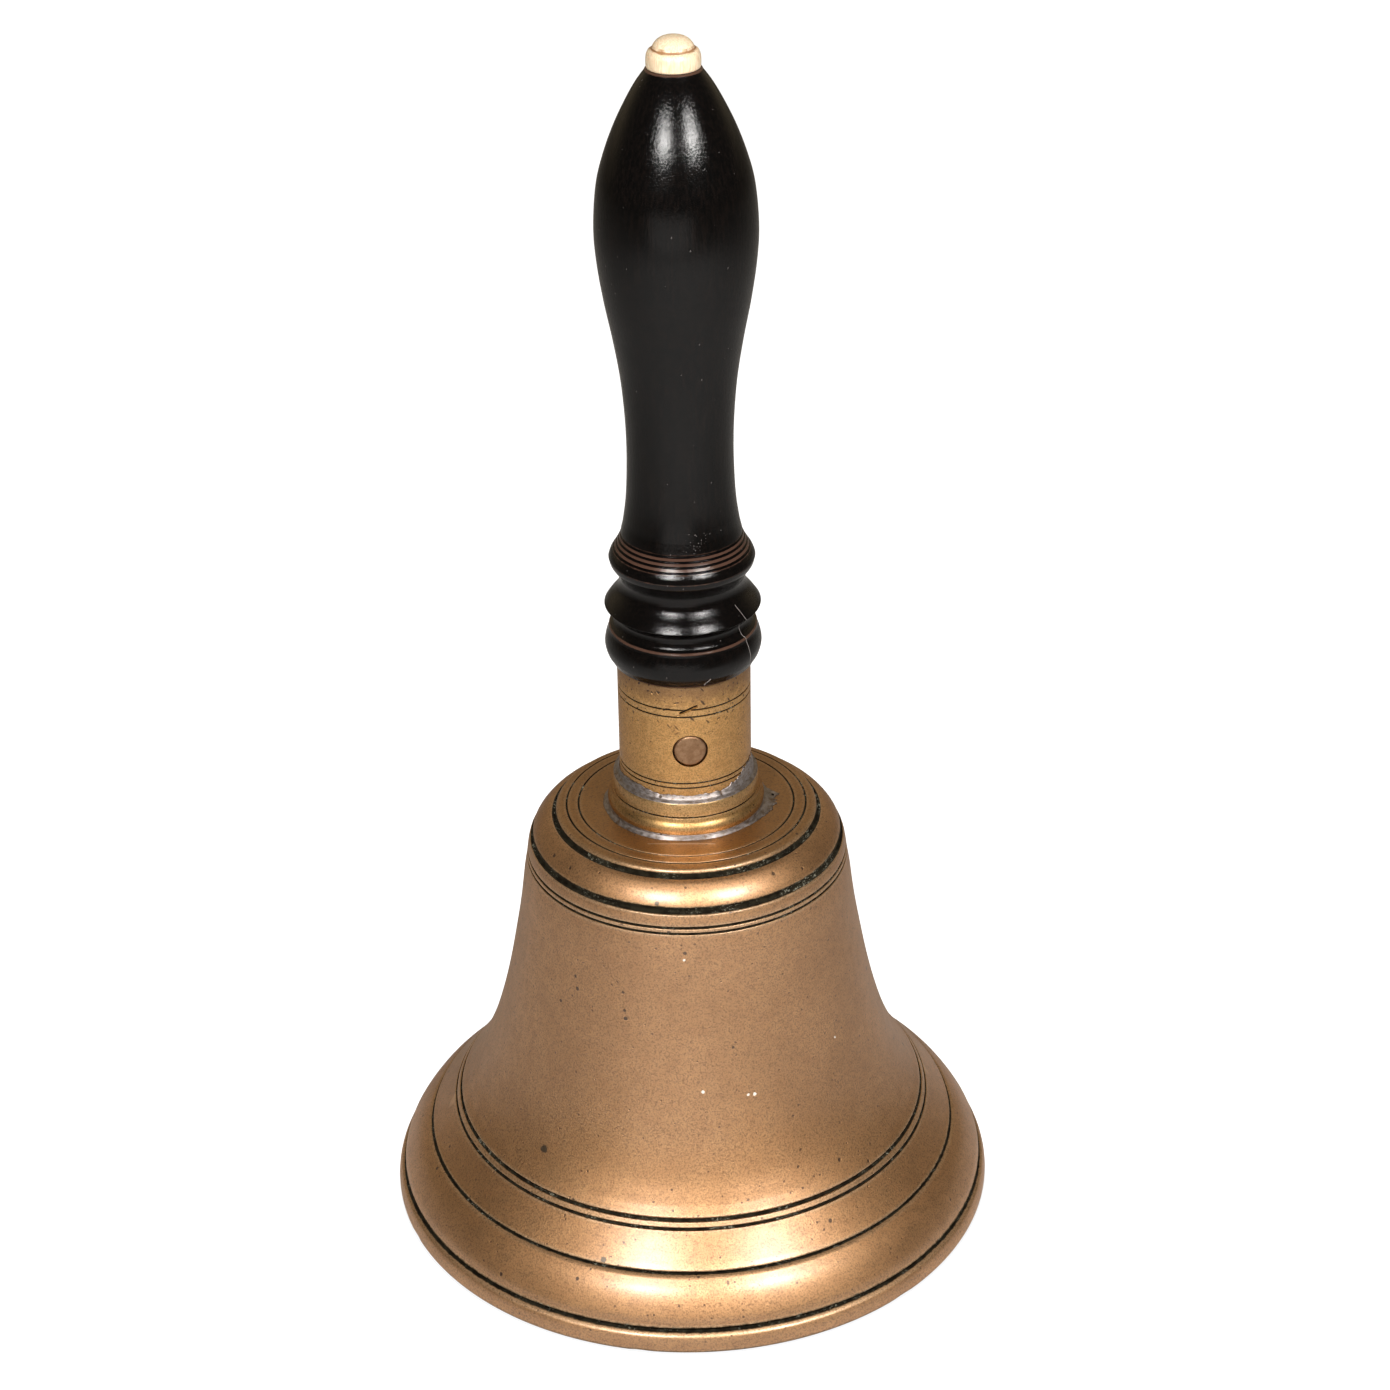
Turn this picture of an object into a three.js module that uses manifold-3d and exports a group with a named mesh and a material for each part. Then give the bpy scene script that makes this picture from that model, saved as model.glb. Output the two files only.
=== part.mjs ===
// A brass handbell. The bell casting carries a moulded collar and a ferrule, soldered on its crown. A turned
// wooden handle is pinned in the ferrule and ends in a bone finial. Inside, a staple is bolted through the crown,
// a link hangs on its loop, and the clapper hangs on the link.
// Millimetres, +Z up. The origin is the centre of the mouth, so the bell stands on the plane z = 0.
import * as THREE from "three";
import { mergeVertices } from "three/addons/utils/BufferGeometryUtils.js";
import Module from "manifold-3d";

const wasm = await Module();
wasm.setup();

// Driving dimensions
const GAP = 0.3; // between pieces that touch
const FINE = 48; // facets round the bell
const MEDIUM = 32; // facets round the handle, ferrule and collar
const COARSE = 20; // facets round small pieces

const MOUTH_R = 75; // outside of the lip
const RIM_INNER_R = 69.6; // inside of the flat rim
const CROWN_Z = 107.7; // top of the crown plate
const CROWN_THICKNESS = 4;
const CROWN_HOLE_R = 4.6;

const FERRULE_R = 15.7;
const FERRULE_WALL = 2;
const FERRULE_TOP_Z = 147;
const COLLAR_BORE_R = FERRULE_R + GAP;
const COLLAR_FOOT_R = 18.7;
const COLLAR_TOP_R = 17.1;
const COLLAR_TOP_Z = 116.5;
const SEAM_WIDTH = 1.2; // of each solder fillet

const PIN_R = 4.2;
const PIN_Z = 129.9;
const TENON_BOTTOM_Z = 122;
const HANDLE_TOP_Z = 288.3;
const PEG_R = 2.7; // of the finial
const PEG_LENGTH = 10;
const TOP_Z = 295.2; // top of the finial

const SHANK_R = 4;
const SHANK_TOP_Z = 119.5;
const SHOULDER_R = 9;
const SHOULDER_LOW_Z = 96.4;
const SHOULDER_HIGH_Z = 101.4;
const STAPLE_WIRE_R = 2.5;
const STAPLE_HALF_WIDTH = 6.4;
const STAPLE_BEND_R = 3.6;
const STAPLE_Z = 88; // centre of the staple's bar, where the link turns

const RUNNING_GAP = 0.35; // between a bar and what turns on it
const LINK_WIRE_R = 2;
const LINK_HALF_WIDTH = STAPLE_WIRE_R + RUNNING_GAP + LINK_WIRE_R;
const LINK_BEND_R = 2.4; // at the ends of the link's lower bar
const LINK_Z = 79.1; // centre of the link's lower bar, where the clapper turns

const EYE_R = 5.2;
const EYE_THICKNESS = 4;
const ROD_R = 3.2;
const BALL_R = 12.5;
const BALL_Z = 18;
const BALL_BORE_R = 2.9;
const ROD_END_Z = 2.2;

const WASHER_THICKNESS = 1.6;
const SOCKET_NUT = { acrossFlats: 13, height: 6.5 };
const CLAPPER_NUT = { acrossFlats: 10, height: 2.6 };

const MATERIALS = {
  bronze: { color: 0xa5744a, roughness: 0.36, metalness: 0.95 },
  brass: { color: 0xa8803e, roughness: 0.38, metalness: 0.95 },
  solder: { color: 0x9a9290, roughness: 0.55, metalness: 0.85 },
  copper: { color: 0x8f6547, roughness: 0.45, metalness: 0.9 },
  ebony: { color: 0x100d0c, roughness: 0.26, metalness: 0 },
  bone: { color: 0xe8d5b4, roughness: 0.42, metalness: 0 },
  iron: { color: 0x2b2826, roughness: 0.62, metalness: 0.8 },
  steel: { color: 0x5d5a56, roughness: 0.5, metalness: 0.9 },
};

// Outlines are in (radius, height). line runs straight from point to point, and curve smoothly through its points.
const vectors = (pairs) => pairs.map(([x, y]) => new THREE.Vector2(x, y));
const line = (...pairs) => (path) => pairs.forEach(([x, y]) => path.lineTo(x, y));
const curve = (...pairs) => (path) => path.splineThru(vectors(pairs));

// Points along an outline from start through its stretches, with the given steps between a curve's points.
function outline(steps, [x, y], ...stretches) {
  const path = new THREE.Path();
  path.moveTo(x, y);
  stretches.forEach((draw) => draw(path));
  return path.getPoints(steps);
}

// An outline turned about Z. It ends on the axis at both ends, or is closed here.
function turned(points, facets) {
  const list = [...points];
  const onAxis = list[0].x === 0 && list.at(-1).x === 0;
  if (!onAxis) list.push(list[0].clone());
  if (THREE.ShapeUtils.area(list) < 0) list.reverse();
  return new THREE.LatheGeometry(list, facets).rotateX(Math.PI / 2);
}

// A ring with a rectangular section.
function ring(innerR, outerR, lowZ, highZ, facets) {
  const section = [[innerR, lowZ], [outerR, lowZ], [outerR, highZ], [innerR, highZ]];
  return turned(vectors(section), facets);
}

// A rod along Y through the axis at height z.
function crossRod(radius, length, z, facets) {
  return new THREE.CylinderGeometry(radius, radius, length, facets).translate(0, 0, z);
}

// A hexagon nut with its lower face at height z.
function hexNut({ acrossFlats, height }, boreR, z) {
  const cornerR = acrossFlats / Math.sqrt(3);
  const sides = 6;
  const corners = Array.from({ length: sides }, (_, i) => {
    const turn = (2 * Math.PI * i) / sides;
    return [cornerR * Math.cos(turn), cornerR * Math.sin(turn)];
  });
  const shape = new THREE.Shape(vectors(corners));
  shape.holes.push(new THREE.Path().absarc(0, 0, boreR, 0, 2 * Math.PI, true));
  const nut = new THREE.ExtrudeGeometry(shape, { depth: height, bevelEnabled: false, curveSegments: 10 });
  return nut.translate(0, 0, z);
}

// A round wire bent into a closed loop, which runs anticlockwise in the plane of Z and the across direction.
function wireLoop(path, steps, wireR, across, facets) {
  const up = new THREE.Vector3(0, 0, 1);
  const side = new THREE.Vector3().crossVectors(across, up);
  const centres = path.getSpacedPoints(steps).slice(0, -1);
  const position = [];
  const index = [];
  centres.forEach((centre, i) => {
    const next = (i + 1) % steps;
    const along = centres[next].clone().sub(centres.at(i - 1)).normalize();
    const outward = across.clone().multiplyScalar(along.y).addScaledVector(up, -along.x);
    for (let k = 0; k < facets; k += 1) {
      const turn = (2 * Math.PI * k) / facets;
      const point = across.clone().multiplyScalar(centre.x).addScaledVector(up, centre.y);
      point.addScaledVector(outward, wireR * Math.cos(turn));
      point.addScaledVector(side, wireR * Math.sin(turn));
      position.push(...point.toArray());
      const beside = (k + 1) % facets;
      const [a, b] = [i * facets + k, next * facets + k];
      const [c, d] = [next * facets + beside, i * facets + beside];
      index.push(a, b, c, a, c, d);
    }
  });
  const loop = new THREE.BufferGeometry();
  loop.setAttribute("position", new THREE.Float32BufferAttribute(position, 3));
  return loop.setIndex(index);
}

// A solid for joining and cutting, from a closed geometry.
function solidOf(geometry) {
  const bare = geometry.clone();
  bare.deleteAttribute("normal");
  bare.deleteAttribute("uv");
  const merged = mergeVertices(bare, 1e-4);
  const triVerts = new Uint32Array(merged.index.array);
  const vertProperties = new Float32Array(merged.attributes.position.array);
  return new wasm.Manifold(new wasm.Mesh({ numProp: 3, vertProperties, triVerts }));
}

function geometryOf(solid) {
  const mesh = solid.getMesh();
  const geometry = new THREE.BufferGeometry();
  geometry.setAttribute("position", new THREE.BufferAttribute(mesh.vertProperties, 3));
  geometry.setIndex(new THREE.BufferAttribute(mesh.triVerts, 1));
  geometry.computeVertexNormals();
  return geometry;
}

function cut(geometry, tool) {
  return geometryOf(solidOf(geometry).subtract(solidOf(tool)));
}

function joined(...geometries) {
  return geometryOf(geometries.map(solidOf).reduce((whole, piece) => whole.add(piece)));
}

// Lip, soundbow with a groove above and below it, flared waist, shoulder and flat crown with a hole for the staple.
function bellCasting() {
  const lip = line([74.3, 0], [MOUTH_R, 0.8], [MOUTH_R, 2.4], [74.1, 4.7]);
  const lipGroove = line([72.6, 5], [72.6, 5.8], [73.6, 6.1]);
  const soundbow = curve([71, 10], [66.4, 16.2]);
  const step = line([65, 16.4], [65.6, 17]);
  const waist = curve([60.1, 23.8], [53, 34.5], [47.2, 49.8], [42.8, 68.9], [39.6, 89.5], [38.1, 98.7]);
  const shoulderGroove = line([37, 99.1], [37, 100]);
  const shoulder = curve([35.4, 103.3], [32.2, 105.6]);
  const crown = line([31.4, 105.5], [31.2, 106.8], [26, CROWN_Z], [CROWN_HOLE_R, CROWN_Z]);
  const under = line([CROWN_HOLE_R, CROWN_Z - CROWN_THICKNESS], [30, CROWN_Z - CROWN_THICKNESS]);
  const inside = curve([34, 101.5], [35.4, 96], [38.9, 72], [46.6, 41], [57.2, 20.4], [66.4, 5], [RIM_INNER_R, 0]);
  const start = [RIM_INNER_R, 0];
  const stretches = [lip, lipGroove, soundbow, step, waist, shoulderGroove, shoulder, crown, under, inside];
  return turned(outline(2, start, ...stretches).slice(0, -1), FINE);
}

// A brass ring with two mouldings, round the foot of the ferrule.
function collarMoulding() {
  const foot = line([COLLAR_FOOT_R - 0.2, CROWN_Z + GAP], [COLLAR_FOOT_R, CROWN_Z + 1.5]);
  const lower = curve([COLLAR_FOOT_R, 110.9], [18.2, 112.4]);
  const groove = line([17.5, 112.8], [17.5, 113.2], [17.9, 113.5]);
  const upper = curve([17.7, 115.2], [COLLAR_TOP_R, COLLAR_TOP_Z]);
  const bore = line([COLLAR_BORE_R, COLLAR_TOP_Z]);
  return turned(outline(1, [COLLAR_BORE_R, CROWN_Z + GAP], foot, lower, groove, upper, bore), MEDIUM);
}

// A solder fillet with a three-cornered section, outside radius r and on height z.
function solderSeam(r, z) {
  return turned(vectors([[r, z], [r + SEAM_WIDTH, z], [r, z + SEAM_WIDTH]]), MEDIUM);
}

function ferrule() {
  const tube = ring(FERRULE_R - FERRULE_WALL, FERRULE_R, CROWN_Z + GAP, FERRULE_TOP_Z, MEDIUM);
  return cut(tube, crossRod(PIN_R + GAP, 3 * FERRULE_R, PIN_Z, COARSE));
}

// A pin across the ferrule and the handle's tenon, its ends flush with the outside of the ferrule.
function crossPin() {
  const rod = solidOf(crossRod(PIN_R, 3 * FERRULE_R, PIN_Z, COARSE));
  const within = solidOf(turned(vectors([[0, 0], [FERRULE_R, 0], [FERRULE_R, 2 * PIN_Z], [0, 2 * PIN_Z]]), MEDIUM));
  return geometryOf(rod.intersect(within));
}

// A tenon for the ferrule, three beads, a waisted neck and a bulb with a socket for the finial's peg.
function handle() {
  const tenonR = FERRULE_R - FERRULE_WALL - GAP;
  const socketR = PEG_R + GAP;
  const tenon = line([tenonR, TENON_BOTTOM_Z], [tenonR, FERRULE_TOP_Z + GAP], [16.7, FERRULE_TOP_Z + GAP]);
  const lowBead = curve([18.3, 151.4], [17.3, 156.1]);
  const cove = curve([16, 158.6], [18.2, 161.5]);
  const middleBead = curve([15.9, 164.4], [14.6, 167.6]);
  const topBead = curve([16.9, 173.5], [14, 179.8]);
  const neck = curve([12.4, 190], [12.2, 205], [14.6, 227]);
  const bulb = curve([17.7, 245.5], [17.3, 262.4], [11.6, 279.2], [6.1, HANDLE_TOP_Z]);
  const socketZ = HANDLE_TOP_Z - PEG_LENGTH;
  const socket = line([socketR, HANDLE_TOP_Z], [socketR, socketZ], [0, socketZ]);
  const stretches = [tenon, lowBead, cove, middleBead, topBead, neck, bulb, socket];
  const turning = turned(outline(2, [0, TENON_BOTTOM_Z], ...stretches), MEDIUM);
  return cut(turning, crossRod(PIN_R + GAP, 3 * FERRULE_R, PIN_Z, COARSE));
}

// A bone button with a domed top, and a peg under it.
function finial() {
  const seatZ = HANDLE_TOP_Z + GAP;
  const pegZ = seatZ - PEG_LENGTH;
  const peg = line([PEG_R, pegZ], [PEG_R, seatZ], [5.9, seatZ]);
  const band = curve([6.1, 290.6], [5, 292.5]);
  const dome = curve([3.4, 294.5], [0, TOP_Z]);
  return turned(outline(2, [0, pegZ], peg, band, line([4.5, 292.8]), dome), COARSE);
}

// A shank with a shoulder, and a loop under it with a straight bar along X.
function eyeBolt() {
  const shoulder = line([SHOULDER_R - 1.5, SHOULDER_LOW_Z], [SHOULDER_R, SHOULDER_LOW_Z + 1.5]);
  const shank = line([SHOULDER_R, SHOULDER_HIGH_Z], [SHANK_R, SHOULDER_HIGH_Z], [SHANK_R, SHANK_TOP_Z]);
  const bolt = outline(1, [0, SHOULDER_LOW_Z], shoulder, shank, line([0, SHANK_TOP_Z]));
  const bendX = STAPLE_HALF_WIDTH - STAPLE_BEND_R;
  const lowZ = STAPLE_Z + STAPLE_BEND_R;
  const highZ = SHOULDER_HIGH_Z - STAPLE_WIRE_R - STAPLE_BEND_R;
  const corners = [[bendX, lowZ, -0.5], [bendX, highZ, 0], [-bendX, highZ, 0.5], [-bendX, lowZ, 1]];
  const loop = new THREE.Path();
  corners.forEach(([x, z, halfTurns]) => {
    loop.absarc(x, z, STAPLE_BEND_R, halfTurns * Math.PI, (halfTurns + 0.5) * Math.PI);
  });
  loop.closePath();
  const wire = wireLoop(loop, 30, STAPLE_WIRE_R, new THREE.Vector3(1, 0, 0), 10);
  return joined(turned(bolt, COARSE), wire);
}

// A link with a round top end about the staple's bar, and a straight lower bar along Y.
function suspensionLink() {
  const bendY = LINK_HALF_WIDTH - LINK_BEND_R;
  const bendZ = LINK_Z + LINK_BEND_R;
  const loop = new THREE.Path();
  loop.absarc(0, STAPLE_Z, LINK_HALF_WIDTH, 0, Math.PI);
  loop.absarc(-bendY, bendZ, LINK_BEND_R, Math.PI, 1.5 * Math.PI);
  loop.absarc(bendY, bendZ, LINK_BEND_R, 1.5 * Math.PI, 2 * Math.PI);
  loop.closePath();
  return wireLoop(loop, 32, LINK_WIRE_R, new THREE.Vector3(0, 1, 0), 10);
}

// A rod with a flat eye on the link, a shoulder above the ball, and an end that passes through the ball and nut.
function clapperRod() {
  const endR = BALL_BORE_R - GAP;
  const shoulderZ = BALL_Z + BALL_R;
  const end = line([endR, ROD_END_Z], [endR, shoulderZ], [ROD_R + 1.2, shoulderZ]);
  const shoulder = line([ROD_R + 1.2, shoulderZ + 1.8], [ROD_R, shoulderZ + 3.5]);
  const top = line([ROD_R, LINK_Z - EYE_R], [0, LINK_Z - EYE_R + 1.5]);
  const rod = turned(outline(1, [0, ROD_END_Z], end, shoulder, top), COARSE);
  const eye = crossRod(EYE_R, EYE_THICKNESS, LINK_Z, COARSE);
  const bore = crossRod(LINK_WIRE_R + RUNNING_GAP, 2 * EYE_THICKNESS, LINK_Z, COARSE);
  return cut(joined(rod, eye), bore);
}

function clapperBall() {
  const edge = Math.acos(BALL_BORE_R / BALL_R);
  const section = new THREE.Path().absarc(0, BALL_Z, BALL_R, -edge, edge);
  return turned(section.getPoints(5), COARSE);
}

const clapperNutZ = BALL_Z - BALL_R - CLAPPER_NUT.height;
const socketWasherZ = CROWN_Z + GAP;
const crownWasherZ = SHOULDER_HIGH_Z + GAP;
const pieces = [
  ["bell_casting", bellCasting(), "bronze"],
  ["collar_moulding", collarMoulding(), "brass"],
  ["ferrule", ferrule(), "brass"],
  ["upper_solder_seam", solderSeam(COLLAR_BORE_R, COLLAR_TOP_Z + GAP), "solder"],
  ["lower_solder_seam", solderSeam(COLLAR_FOOT_R + GAP, CROWN_Z + GAP), "solder"],
  ["cross_pin", crossPin(), "copper"],
  ["handle", handle(), "ebony"],
  ["finial", finial(), "bone"],
  ["eye_bolt", eyeBolt(), "iron"],
  ["crown_washer", ring(SHANK_R + GAP, 10.5, crownWasherZ, crownWasherZ + WASHER_THICKNESS, COARSE), "steel"],
  ["socket_washer", ring(SHANK_R + GAP, 12, socketWasherZ, socketWasherZ + WASHER_THICKNESS, COARSE), "steel"],
  ["socket_nut", hexNut(SOCKET_NUT, SHANK_R + GAP, socketWasherZ + WASHER_THICKNESS + GAP), "steel"],
  ["suspension_link", suspensionLink(), "iron"],
  ["clapper_rod", clapperRod(), "iron"],
  ["clapper_ball", clapperBall(), "iron"],
  ["clapper_nut", hexNut(CLAPPER_NUT, BALL_BORE_R, clapperNutZ), "steel"],
];

const handbell = new THREE.Group();
pieces.forEach(([name, geometry, material]) => {
  const mesh = new THREE.Mesh(geometry, new THREE.MeshStandardMaterial(MATERIALS[material]));
  mesh.name = name;
  handbell.add(mesh);
});

export default handbell;
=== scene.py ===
"""A bronze handbell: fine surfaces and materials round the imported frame.

Outlines of turned pieces are lists of (radius, height) in millimetres, as on a lathe drawing. They run
anticlockwise: up the outside and down the inside, with the metal on the left. Meshes are in metres, +Z up,
in the frame's own place. Azimuth 0 is the front, along -Y, and 90 is along +X.
"""
import math

import bmesh
import bpy
import numpy as np
from mathutils import Matrix, Vector, noise

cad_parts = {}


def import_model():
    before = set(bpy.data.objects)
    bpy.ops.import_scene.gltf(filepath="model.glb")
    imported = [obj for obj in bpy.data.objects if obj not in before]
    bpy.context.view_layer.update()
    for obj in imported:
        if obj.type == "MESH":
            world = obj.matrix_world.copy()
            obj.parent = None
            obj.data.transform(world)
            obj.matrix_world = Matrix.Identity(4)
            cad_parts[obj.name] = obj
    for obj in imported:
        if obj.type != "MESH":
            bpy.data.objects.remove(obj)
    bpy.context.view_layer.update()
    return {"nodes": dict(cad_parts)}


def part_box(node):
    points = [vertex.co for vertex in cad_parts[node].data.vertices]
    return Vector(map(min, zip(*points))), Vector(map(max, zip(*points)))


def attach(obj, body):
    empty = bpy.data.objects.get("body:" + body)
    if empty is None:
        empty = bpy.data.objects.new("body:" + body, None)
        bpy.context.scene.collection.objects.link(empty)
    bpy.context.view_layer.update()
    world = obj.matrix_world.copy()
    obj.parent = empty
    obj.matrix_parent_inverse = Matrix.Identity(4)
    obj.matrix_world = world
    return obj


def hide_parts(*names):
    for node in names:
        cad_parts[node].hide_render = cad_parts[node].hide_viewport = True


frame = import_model()

MM = 0.001
GAP = 0.3  # between pieces that touch, as in the frame


def span(node):
    """The lowest and highest corner of a frame node in millimetres."""
    low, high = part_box(node)
    return low / MM, high / MM


# Sizes from the frame, in millimetres
PIN_LOW, PIN_HIGH = span("cross_pin")
PIN_Z = (PIN_LOW.z + PIN_HIGH.z) / 2
PIN_R = (PIN_HIGH.z - PIN_LOW.z) / 2 - 0.25  # a little smaller than there, as in the photograph
FERRULE_R = span("ferrule")[1].x
FERRULE_TOP_Z = span("ferrule")[1].z
MOUTH_R = span("bell_casting")[1].x
CROWN_Z = span("bell_casting")[1].z
HANDLE_LOW_Z = span("handle")[0].z
HANDLE_TOP_Z = span("handle")[1].z
TOP_Z = span("finial")[1].z
BALL_R = span("clapper_ball")[1].x

# Sizes and values chosen here, in millimetres
BALL_Z = 18.0  # the ball's middle
BORE_R = 2.9  # of the hole through the ball and its nut
STAPLE_Z = 88.0  # the staple's lower bar, on which the link swings
LINK_Z = 79.1  # the link's lower bar, on which the clapper swings
ARRIS_Z = 161.6  # the sharp ridge under the handle's middle bead
BEAD_R = 17.0  # about the handle's radius at its beads
STRIKE_Z = 22.0  # height at which the ball strikes the inside of the soundbow
STRIKE_R = 56.4  # the inside's radius at that height
LINE_GRIME = 0.9  # in scribed lines: under 1, so that edge_wear spreads none past their edges
LAMP_COLOUR = (1, 0.98, 0.96)


# ---------------------------------------------------------------- outlines

def smooth(points, spacing):
    """Points about spacing apart on a Catmull-Rom curve through the given ones."""
    p = np.array(points, float)
    p = np.vstack([2 * p[0] - p[1], p, 2 * p[-1] - p[-2]])
    out = [p[1]]
    for a, b, c, d in zip(p, p[1:], p[2:], p[3:]):
        count = max(2, round(np.linalg.norm(c - b) / spacing))
        for i in range(1, count + 1):
            t = i / count
            out.append(0.5 * (2 * b + (c - a) * t + (2 * a - 5 * b + 4 * c - d) * t * t
                              + (3 * b - a - 3 * c + d) * t ** 3))
    return [tuple(q) for q in out]


def rounded(points, radius, steps=4):
    """A polyline with each inner corner turned into a small arc."""
    p = [Vector(q) for q in points]
    out = [p[0]]
    for a, b, c in zip(p, p[1:], p[2:]):
        to_a, to_c = a - b, c - b
        reach = min(radius, 0.45 * to_a.length, 0.45 * to_c.length)
        start, end = b + to_a.normalized() * reach, b + to_c.normalized() * reach
        for i in range(steps + 1):
            t = i / steps
            out.append(start * (1 - t) ** 2 + b * 2 * t * (1 - t) + end * t ** 2)
    out.append(p[-1])
    return [tuple(q) for q in out]


def soiled(points, amount=1.0):
    """The outline with grime on it, as a third value of each point."""
    return [(q[0], q[1], amount) for q in points]


def scribed(points, lines):
    """The outline with a line scribed into it at each (place, width, depth), with grime in the line.

    The place is a height, or on the level crown a radius.
    """
    p = np.array(soiled(points, 0.0), float)
    level = abs(p[0][1] - p[-1][1]) < 0.5 * abs(p[0][0] - p[-1][0])
    for where, width, depth in lines:
        k = int(np.argmin(abs(p[:, 0 if level else 1] - where)))
        at = p[k]
        along = p[min(k + 1, len(p) - 1)] - p[max(k - 1, 0)]
        along[2] = 0
        along /= np.linalg.norm(along)
        inward = np.array([-along[1], along[0], 0])
        clear = abs((p - at) @ along) > 0.75 * width
        far = np.linalg.norm(p[:, :2] - at[:2], axis=1) > 3 * width
        kept = clear | far
        cut = []
        for t in np.linspace(-0.62, 0.62, 13):
            sink = (0.5 + 0.5 * math.cos(min(1, abs(t) / 0.5) * math.pi)) ** 0.35
            cut.append(at + along * t * width + inward * depth * sink + np.array([0, 0, LINE_GRIME * sink]))
        index = np.arange(len(p))
        p = np.vstack([p[kept & (index < k)], cut, p[kept & (index > k)]])
    return [tuple(q) for q in p]


def joined(*stretches):
    """One outline from several, without repeated points."""
    out = []
    for stretch in stretches:
        for q in stretch:
            if not out or math.dist(q[:2], out[-1][:2]) > 1e-4:
                out.append((q[0], q[1], q[2] if len(q) > 2 else 0.0))
    return out


# ---------------------------------------------------------------- meshes

def edge_wear(outline):
    """How much grime each outline point holds, and how far it is on a sharp edge, both from 0 to 1.

    Hollows gather grime, and points that are fully soiled spread some past their edges.
    """
    p = np.array(outline, float)[:, :2]
    steps = np.diff(p, axis=0)
    s = np.concatenate([[0], np.cumsum(np.linalg.norm(steps, axis=1))])
    direction = np.unwrap(np.arctan2(steps[:, 1], steps[:, 0]))
    turn = np.zeros(len(p))
    turn[1:-1] = np.diff(direction)
    apart = s[:, None] - s[None, :]
    bend = np.exp(-(apart / 0.4) ** 2) @ turn
    soot = np.array(outline, float)[:, 2]
    skirt = 0.55 * np.max(np.exp(-(apart / 0.7) ** 2) * (soot[None, :] == 1), axis=1)
    grime = np.clip(-bend * 1.2, 0, 1)
    rub = np.clip(bend * 1.2, 0, 1) * np.clip(1 - 1.5 * soot, 0, 1)
    return np.max([grime, soot, skirt], axis=0), rub


def add_mesh(name, vertices, faces, attributes=()):
    mesh = bpy.data.meshes.new(name)
    mesh.from_pydata([tuple(v) for v in vertices], [], [tuple(f) for f in faces])
    for key, values in attributes:
        layer = mesh.attributes.new(key, "FLOAT", "POINT")
        layer.data.foreach_set("value", np.asarray(values, np.float32))
    mesh.shade_smooth()
    obj = bpy.data.objects.new(name, mesh)
    bpy.context.scene.collection.objects.link(obj)
    return obj


def turned(name, outline, segments, shape=None):
    """A piece turned about Z. An outline that leaves the axis at both ends is closed into a ring.

    shape(azimuth, r, z), in degrees and millimetres, may give each point's outward and upward offset.
    """
    p = np.array(joined(outline), float)
    poles = abs(p[0][0]) < 1e-6 and abs(p[-1][0]) < 1e-6
    grime, rub = edge_wear(p)
    n = len(p)
    turn = np.arange(segments) * 2 * math.pi / segments
    r, z = (np.repeat(p[:, k][:, None], segments, 1) for k in (0, 1))
    if shape:
        azimuth = (np.degrees(np.repeat(turn[None, :], n, 0)) + 180) % 360 - 180
        out, up = shape(azimuth, r, z)
        r, z = r + out, z + up
    vertices = np.stack([r * np.sin(turn), -r * np.cos(turn), z], -1).reshape(-1, 3) * MM
    i, j = np.meshgrid(np.arange(n - 1 if poles else n), np.arange(segments), indexing="ij")
    k, m = (i + 1) % n, (j + 1) % segments
    quads = np.stack([i * segments + j, i * segments + m, k * segments + m, k * segments + j], -1)
    spread = [(key, np.repeat(v, segments)) for key, v in (("grime", grime), ("rub", rub))]
    obj = add_mesh(name, vertices, quads.reshape(-1, 4).tolist(), spread)
    if poles:
        merge_poles(obj)
    return obj


def merge_poles(obj):
    """Joins the points of each end that lies on the axis."""
    bm = bmesh.new()
    bm.from_mesh(obj.data)
    bmesh.ops.remove_doubles(bm, verts=bm.verts, dist=1e-7)
    bmesh.ops.dissolve_degenerate(bm, edges=bm.edges, dist=1e-8)
    bm.to_mesh(obj.data)
    bm.free()
    obj.data.shade_smooth()


def arc(centre, radius, start, end, steps):
    """Points on an arc, with its angles in half turns."""
    angles = np.linspace(start * math.pi, end * math.pi, steps)
    return [(centre[0] + radius * math.cos(a), centre[1] + radius * math.sin(a)) for a in angles]


def evenly(path, count):
    """A closed path as count points the same distance apart."""
    p = np.array(path + path[:1], float)
    s = np.concatenate([[0], np.cumsum(np.linalg.norm(np.diff(p, axis=0), axis=1))])
    at = np.arange(count) * s[-1] / count
    return np.stack([np.interp(at, s, p[:, k]) for k in (0, 1)], -1)


def wire_loop(name, path, wire_r, axis, around=24):
    """A round wire bent into a closed flat loop, in the plane of Z and the x or y axis.

    The path is anticlockwise.
    """
    p = np.array(path, float)
    along = np.roll(p, -1, 0) - np.roll(p, 1, 0)
    along /= np.linalg.norm(along, axis=1)[:, None]
    outward = np.stack([along[:, 1], -along[:, 0]], -1)
    turn = np.arange(around) * 2 * math.pi / around
    flat = p[:, None, :] + wire_r * np.cos(turn)[None, :, None] * outward[:, None, :]
    side = np.broadcast_to(wire_r * np.sin(turn), flat.shape[:2])
    if axis == "x":
        v = np.stack([flat[..., 0], -side, flat[..., 1]], -1)
    else:
        v = np.stack([side, flat[..., 0], flat[..., 1]], -1)
    n = len(p)
    i, j = np.meshgrid(np.arange(n), np.arange(around), indexing="ij")
    k, m = (i + 1) % n, (j + 1) % around
    quads = np.stack([i * around + j, k * around + j, k * around + m, i * around + m], -1)
    return add_mesh(name, v.reshape(-1, 3) * MM, quads.reshape(-1, 4).tolist())


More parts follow.
